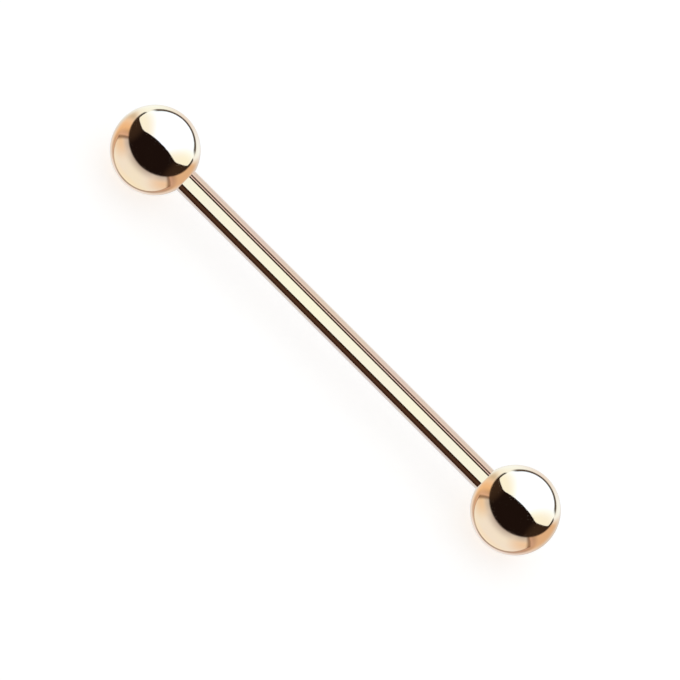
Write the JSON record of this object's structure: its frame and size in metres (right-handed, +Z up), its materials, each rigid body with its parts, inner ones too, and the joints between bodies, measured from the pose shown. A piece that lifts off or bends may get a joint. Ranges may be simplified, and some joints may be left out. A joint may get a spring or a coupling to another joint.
{
  "type": "industrial barbell",
  "caption": "Straight polished piercing bar with a plain round ball screwed onto each threaded end.",
  "frame": {"origin": "middle of the bar, on its axis, which is also the middle of the whole barbell as it lies on its balls", "axes": "+X along the bar towards ball_right, +Y away from the viewer across the bar, +Z up from the surface that the balls lie on"},
  "size_m": [0.0362, 0.0054, 0.0054],
  "materials": {
    "rose_gold_steel": "polished"
  },
  "bodies": {
    "bar": {"bar": "rose_gold_steel"},
    "ball_left": {"ball_left": "rose_gold_steel"},
    "ball_right": {"ball_right": "rose_gold_steel"}
  },
  "joints": [
    {"name": "ball_left_unscrew", "type": "slide", "parent": "bar", "child": "ball_left", "axis": [-1, 0, 0], "range_m": [0, 0.012]},
    {"name": "ball_right_unscrew", "type": "slide", "parent": "bar", "child": "ball_right", "axis": [1, 0, 0], "range_m": [0, 0.012]}
  ]
}
